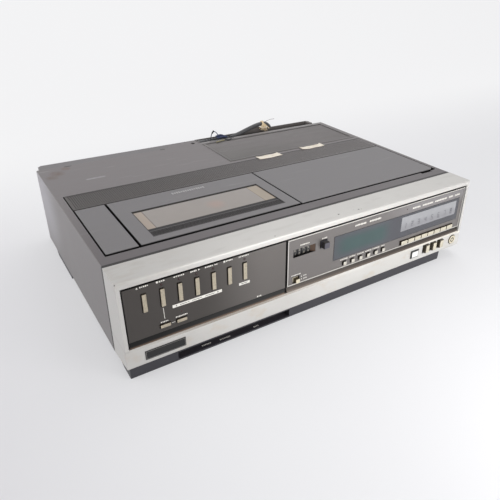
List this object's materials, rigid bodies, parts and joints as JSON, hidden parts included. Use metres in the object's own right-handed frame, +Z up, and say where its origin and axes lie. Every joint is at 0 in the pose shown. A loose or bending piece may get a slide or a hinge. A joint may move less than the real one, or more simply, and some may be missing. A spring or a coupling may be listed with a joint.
{
  "type": "cassette video recorder",
  "caption": "Low, wide top-loading cassette video recorder with a leaning control face, a hinged cassette lid with a window, a tuning flap, a vent grille and a rear lead.",
  "frame": {"origin": "on the surface the recorder stands on, under the middle of its outer box without the lead and wire", "axes": "+X to the right along the front, -Y out of the front face, +Z up"},
  "size_m": [0.48, 0.4446, 0.1214],
  "materials": {
    "satin_silver": "satin silver paint over moulded plastic",
    "dark_bronze": "dark warm grey brushed foil, low gloss",
    "warm_grey_panel": "warm grey satin foil, low gloss",
    "black_plastic": "black moulded plastic, matt",
    "smoked_green": "dark green tinted glossy window",
    "pale_lens": "pale grey translucent glossy lens",
    "grey_paint": "mid grey stoved paint, fine texture",
    "zinc_plate": "zinc plated sheet steel, dull",
    "grey_plastic": "mid grey moulded plastic, satin",
    "dark_moulding": "dark grey moulded plastic, matt",
    "tin_plate": "bright tin plated metal",
    "circuit_board": "green brown circuit board with parts",
    "smoked_window": "brown smoked glossy window",
    "drum_alloy": "turned aluminium, bright",
    "cream_key": "aged cream plastic, satin",
    "ivory_key": "ivory translucent plastic, satin",
    "satin_key": "satin silver paint on plastic",
    "black_rubber": "black flexible plastic, dull",
    "blue_rubber": "dark blue wire insulation"
  },
  "bodies": {
    "chassis": {"front_bezel": "satin_silver", "left_fascia": "dark_bronze", "right_fascia": "warm_grey_panel", "plinth": "black_plastic", "display_window": "smoked_green", "channel_lens": "pale_lens", "top_cover": "grey_paint", "base_pan": "zinc_plate", "rear_feet": "black_plastic", "left_top_cover": "grey_plastic", "ribbed_strip": "grey_plastic", "vent_grille": "grey_plastic", "rear_cover": "dark_moulding", "rear_sockets": "tin_plate", "deck_plate": "zinc_plate", "main_board": "circuit_board", "tuner_tray": "dark_moulding", "mains_bush": "black_rubber", "mains_lead": "black_rubber", "lead_coil": "black_rubber", "mains_plug": "black_rubber", "blue_wire": "blue_rubber"},
    "lid": {"cassette_lid": "grey_plastic", "lid_window": "smoked_window", "cassette_holder": "zinc_plate"},
    "flap": {"tuner_flap": "grey_plastic"},
    "drum": {"head_drum": "drum_alloy"},
    "supply_table": {"supply_reel": "dark_moulding"},
    "takeup_table": {"takeup_reel": "dark_moulding"},
    "capstan_shaft": {"capstan": "tin_plate"},
    "counter": {"counter_wheels": "black_plastic"},
    "timer_switch": {"timer_knob": "cream_key"},
    "eject": {"eject_key": "cream_key"},
    "record": {"record_key": "cream_key"},
    "rewind": {"rewind_key": "cream_key"},
    "play": {"play_key": "cream_key"},
    "forward": {"forward_key": "cream_key"},
    "stop": {"stop_key": "cream_key"},
    "pause": {"pause_key": "cream_key"},
    "lock": {"lock_key": "cream_key"},
    "audio": {"audio_key": "cream_key"},
    "clock_1": {"clock_key_1": "cream_key"},
    "clock_2": {"clock_key_2": "cream_key"},
    "clock_3": {"clock_key_3": "cream_key"},
    "clock_4": {"clock_key_4": "cream_key"},
    "clock_5": {"clock_key_5": "cream_key"},
    "clock_6": {"clock_key_6": "cream_key"},
    "channel_1": {"channel_key_1": "ivory_key"},
    "channel_2": {"channel_key_2": "ivory_key"},
    "channel_3": {"channel_key_3": "ivory_key"},
    "channel_4": {"channel_key_4": "ivory_key"},
    "channel_5": {"channel_key_5": "ivory_key"},
    "channel_6": {"channel_key_6": "ivory_key"},
    "channel_7": {"channel_key_7": "ivory_key"},
    "channel_8": {"channel_key_8": "ivory_key"},
    "reset": {"reset_key": "black_plastic"},
    "power": {"power_key": "satin_key"},
    "slider_1": {"slide_knob_1": "satin_key"},
    "slider_2": {"slide_knob_2": "satin_key"},
    "slider_3": {"slide_knob_3": "satin_key"}
  },
  "joints": [
    {"name": "lid_hinge", "type": "hinge", "parent": "chassis", "child": "lid", "pos_m": [-0.0953, 0.0044, 0.1049], "axis": [-1, 0, 0], "range_deg": [0, 28]},
    {"name": "flap_hinge", "type": "hinge", "parent": "chassis", "child": "flap", "pos_m": [0.1187, 0.0044, 0.1049], "axis": [-1, 0, 0], "range_deg": [0, 80]},
    {"name": "drum_spin", "type": "hinge", "parent": "chassis", "child": "drum", "pos_m": [-0.0953, 0.07, 0.09], "axis": [0, 0, 1], "continuous": true},
    {"name": "supply_spin", "type": "hinge", "parent": "chassis", "child": "supply_table", "pos_m": [-0.1303, -0.038, 0.07], "axis": [0, 0, 1], "continuous": true},
    {"name": "takeup_spin", "type": "hinge", "parent": "chassis", "child": "takeup_table", "pos_m": [-0.0603, -0.038, 0.07], "axis": [0, 0, 1], "continuous": true},
    {"name": "capstan_spin", "type": "hinge", "parent": "chassis", "child": "capstan_shaft", "pos_m": [-0.028, 0.022, 0.06], "axis": [0, 0, 1], "continuous": true},
    {"name": "counter_spin", "type": "hinge", "parent": "chassis", "child": "counter", "pos_m": [-0.0347, -0.14758, 0.08041], "axis": [1, 0, 0], "continuous": true},
    {"name": "timer_slide", "type": "slide", "parent": "chassis", "child": "timer_switch", "axis": [0, 0.0587, 0.9983], "range_m": [0, 0.003]},
    {"name": "eject_press", "type": "slide", "parent": "chassis", "child": "eject", "axis": [0, 0.9983, -0.0587], "range_m": [0, 0.0025], "stiffness_N_per_m": 200},
    {"name": "record_press", "type": "slide", "parent": "chassis", "child": "record", "axis": [0, 0.9983, -0.0587], "range_m": [0, 0.0025], "stiffness_N_per_m": 200},
    {"name": "rewind_press", "type": "slide", "parent": "chassis", "child": "rewind", "axis": [0, 0.9983, -0.0587], "range_m": [0, 0.0025], "stiffness_N_per_m": 200},
    {"name": "play_press", "type": "slide", "parent": "chassis", "child": "play", "axis": [0, 0.9983, -0.0587], "range_m": [0, 0.0025], "stiffness_N_per_m": 200},
    {"name": "forward_press", "type": "slide", "parent": "chassis", "child": "forward", "axis": [0, 0.9983, -0.0587], "range_m": [0, 0.0025], "stiffness_N_per_m": 200},
    {"name": "stop_press", "type": "slide", "parent": "chassis", "child": "stop", "axis": [0, 0.9983, -0.0587], "range_m": [0, 0.0025], "stiffness_N_per_m": 200},
    {"name": "pause_press", "type": "slide", "parent": "chassis", "child": "pause", "axis": [0, 0.9983, -0.0587], "range_m": [0, 0.0025], "stiffness_N_per_m": 200},
    {"name": "lock_press", "type": "slide", "parent": "chassis", "child": "lock", "axis": [0, 0.9983, -0.0587], "range_m": [0, 0.0025], "stiffness_N_per_m": 200},
    {"name": "audio_press", "type": "slide", "parent": "chassis", "child": "audio", "axis": [0, 0.9983, -0.0587], "range_m": [0, 0.0025], "stiffness_N_per_m": 200},
    {"name": "clock_1_press", "type": "slide", "parent": "chassis", "child": "clock_1", "axis": [0, 0.9983, -0.0587], "range_m": [0, 0.0015], "stiffness_N_per_m": 200},
    {"name": "clock_2_press", "type": "slide", "parent": "chassis", "child": "clock_2", "axis": [0, 0.9983, -0.0587], "range_m": [0, 0.0015], "stiffness_N_per_m": 200},
    {"name": "clock_3_press", "type": "slide", "parent": "chassis", "child": "clock_3", "axis": [0, 0.9983, -0.0587], "range_m": [0, 0.0015], "stiffness_N_per_m": 200},
    {"name": "clock_4_press", "type": "slide", "parent": "chassis", "child": "clock_4", "axis": [0, 0.9983, -0.0587], "range_m": [0, 0.0015], "stiffness_N_per_m": 200},
    {"name": "clock_5_press", "type": "slide", "parent": "chassis", "child": "clock_5", "axis": [0, 0.9983, -0.0587], "range_m": [0, 0.0015], "stiffness_N_per_m": 200},
    {"name": "clock_6_press", "type": "slide", "parent": "chassis", "child": "clock_6", "axis": [0, 0.9983, -0.0587], "range_m": [0, 0.0015], "stiffness_N_per_m": 200},
    {"name": "channel_1_press", "type": "slide", "parent": "chassis", "child": "channel_1", "axis": [0, 0.9983, -0.0587], "range_m": [0, 0.002], "stiffness_N_per_m": 200},
    {"name": "channel_2_press", "type": "slide", "parent": "chassis", "child": "channel_2", "axis": [0, 0.9983, -0.0587], "range_m": [0, 0.002], "stiffness_N_per_m": 200},
    {"name": "channel_3_press", "type": "slide", "parent": "chassis", "child": "channel_3", "axis": [0, 0.9983, -0.0587], "range_m": [0, 0.002], "stiffness_N_per_m": 200},
    {"name": "channel_4_press", "type": "slide", "parent": "chassis", "child": "channel_4", "axis": [0, 0.9983, -0.0587], "range_m": [0, 0.002], "stiffness_N_per_m": 200},
    {"name": "channel_5_press", "type": "slide", "parent": "chassis", "child": "channel_5", "axis": [0, 0.9983, -0.0587], "range_m": [0, 0.002], "stiffness_N_per_m": 200},
    {"name": "channel_6_press", "type": "slide", "parent": "chassis", "child": "channel_6", "axis": [0, 0.9983, -0.0587], "range_m": [0, 0.002], "stiffness_N_per_m": 200},
    {"name": "channel_7_press", "type": "slide", "parent": "chassis", "child": "channel_7", "axis": [0, 0.9983, -0.0587], "range_m": [0, 0.002], "stiffness_N_per_m": 200},
    {"name": "channel_8_press", "type": "slide", "parent": "chassis", "child": "channel_8", "axis": [0, 0.9983, -0.0587], "range_m": [0, 0.002], "stiffness_N_per_m": 200},
    {"name": "reset_press", "type": "slide", "parent": "chassis", "child": "reset", "axis": [0, 0.9983, -0.0587], "range_m": [0, 0.0025], "stiffness_N_per_m": 200},
    {"name": "power_press", "type": "slide", "parent": "chassis", "child": "power", "axis": [0, 0.9983, -0.0587], "range_m": [0, 0.002], "stiffness_N_per_m": 200},
    {"name": "slider_1_slide", "type": "slide", "parent": "chassis", "child": "slider_1", "axis": [1, 0, 0], "range_m": [-0.003, 0]},
    {"name": "slider_2_slide", "type": "slide", "parent": "chassis", "child": "slider_2", "axis": [1, 0, 0], "range_m": [-0.003, 0]},
    {"name": "slider_3_slide", "type": "slide", "parent": "chassis", "child": "slider_3", "axis": [1, 0, 0], "range_m": [-0.003, 0]}
  ]
}
